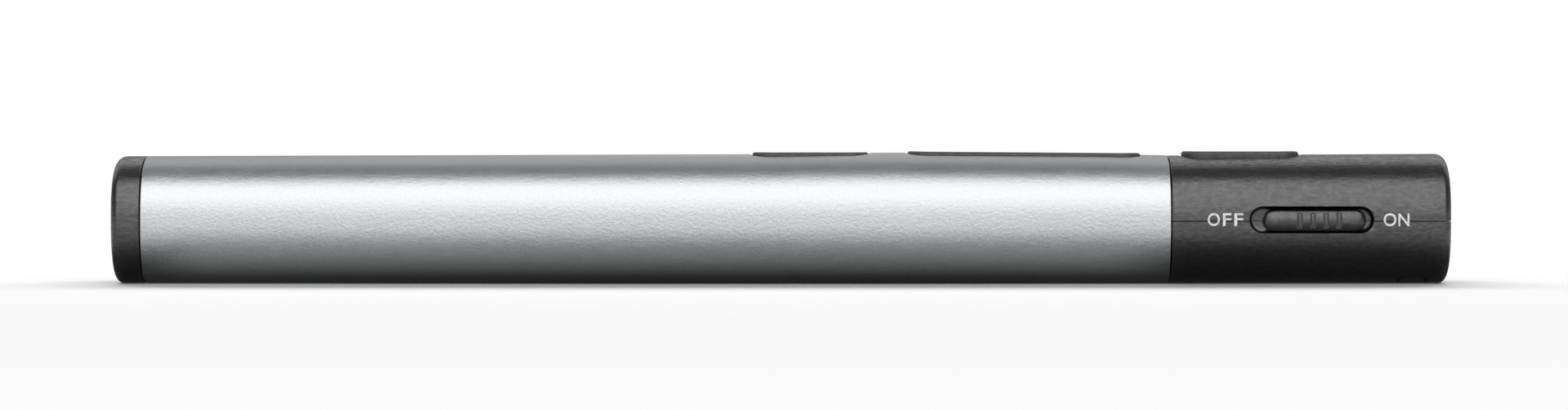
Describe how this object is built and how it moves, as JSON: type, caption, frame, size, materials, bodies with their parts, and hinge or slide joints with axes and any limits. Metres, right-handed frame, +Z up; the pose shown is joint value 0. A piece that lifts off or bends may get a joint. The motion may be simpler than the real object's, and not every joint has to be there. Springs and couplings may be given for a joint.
{
  "type": "wireless presenter",
  "caption": "Slim hand-held wireless presenter with laser pointer: aluminium tube, black rear cap that docks the receiver, keys on top, ON/OFF slide switch on the side.",
  "frame": {"origin": "middle of the underside, on the surface the presenter lies on", "axes": "+X along the length towards the laser nose, +Z up through the keys, -Y the side with the slide switch"},
  "size_m": [0.1459, 0.021, 0.0146],
  "materials": {
    "satin_aluminium": "bead-blasted, clear anodised",
    "black_satin_plastic": "satin with a fine spark grain",
    "key_plastic": "satin",
    "grey_plastic": "as moulded",
    "solder_mask": "solder mask over glass laminate",
    "chip_resin": "moulded resin",
    "bright_steel": "bright rolled",
    "dark_steel": "blackened",
    "nickel_plate": "nickel plated",
    "turned_brass": "turned",
    "gold_plate": "gold plated",
    "cell_wrap": "printed film, bare of print",
    "clear_polymer": "polished"
  },
  "bodies": {
    "handset": {"aluminium_tube": "satin_aluminium", "chassis": "grey_plastic", "key_frame": "grey_plastic", "main_board": "solder_mask", "control_chip": "chip_resin", "radio_chip": "chip_resin", "crystal": "bright_steel", "screen_key_dome": "bright_steel", "page_back_dome": "bright_steel", "page_forward_dome": "bright_steel", "laser_key_dome": "bright_steel", "rocker_pivot_pin": "bright_steel", "front_upper_shell": "black_satin_plastic", "front_lower_shell": "black_satin_plastic", "nose_window": "clear_polymer", "laser_barrel": "turned_brass", "laser_lens": "clear_polymer", "laser_lens_ring": "turned_brass", "laser_diode": "nickel_plate", "slide_switch_body": "bright_steel", "front_contact_plate": "nickel_plate", "return_strip": "nickel_plate", "board_screw_1": "dark_steel", "board_screw_2": "dark_steel", "board_screw_3": "dark_steel", "board_screw_4": "dark_steel", "housing_screw_1": "dark_steel", "housing_screw_2": "dark_steel", "housing_plug_1": "black_satin_plastic", "housing_plug_2": "black_satin_plastic"},
    "screen_key": {"screen_key": "key_plastic"},
    "page_rocker": {"page_rocker": "key_plastic"},
    "laser_key": {"laser_key": "key_plastic"},
    "power_knob": {"switch_knob": "black_satin_plastic", "slide_switch_lever": "black_satin_plastic"},
    "rear_cap": {"rear_cap": "black_satin_plastic", "rear_contact_plate": "nickel_plate", "contact_spring": "nickel_plate"},
    "receiver": {"receiver_housing": "black_satin_plastic", "receiver_plug_shell": "bright_steel", "receiver_board": "solder_mask", "receiver_contact_1": "gold_plate", "receiver_contact_2": "gold_plate", "receiver_contact_3": "gold_plate", "receiver_contact_4": "gold_plate"},
    "battery": {"battery_cell": "cell_wrap"}
  },
  "joints": [
    {"name": "screen_key_press", "type": "slide", "parent": "handset", "child": "screen_key", "axis": [0, 0, -1], "range_m": [0, 0.00035], "stiffness_N_per_m": 2500, "springref_m": -0.0002, "deforming": ["screen_key_dome"]},
    {"name": "page_rock", "type": "hinge", "parent": "handset", "child": "page_rocker", "pos_m": [0.0268, 0, 0.0105], "axis": [0, 1, 0], "range_deg": [-1.4, 1.4], "stiffness_Nm_per_rad": 0.6, "deforming": ["page_back_dome", "page_forward_dome"]},
    {"name": "laser_key_press", "type": "slide", "parent": "handset", "child": "laser_key", "axis": [0, 0, -1], "range_m": [0, 0.00035], "stiffness_N_per_m": 2500, "springref_m": -0.0002, "deforming": ["laser_key_dome"]},
    {"name": "power_slide", "type": "slide", "parent": "handset", "child": "power_knob", "axis": [-1, 0, 0], "range_m": [0, 0.0013]},
    {"name": "cap_pull", "type": "slide", "parent": "handset", "child": "rear_cap", "axis": [-1, 0, 0], "range_m": [0, 0.082]},
    {"name": "receiver_pull", "type": "slide", "parent": "rear_cap", "child": "receiver", "axis": [-1, 0, 0], "range_m": [0, 0.019]},
    {"name": "battery_slide", "type": "slide", "parent": "handset", "child": "battery", "axis": [-1, 0, 0], "range_m": [0, 0.0656]}
  ],
  "couplings": [
    {"joint": "battery_slide", "follows": "cap_pull", "ratio": 0.8}
  ]
}
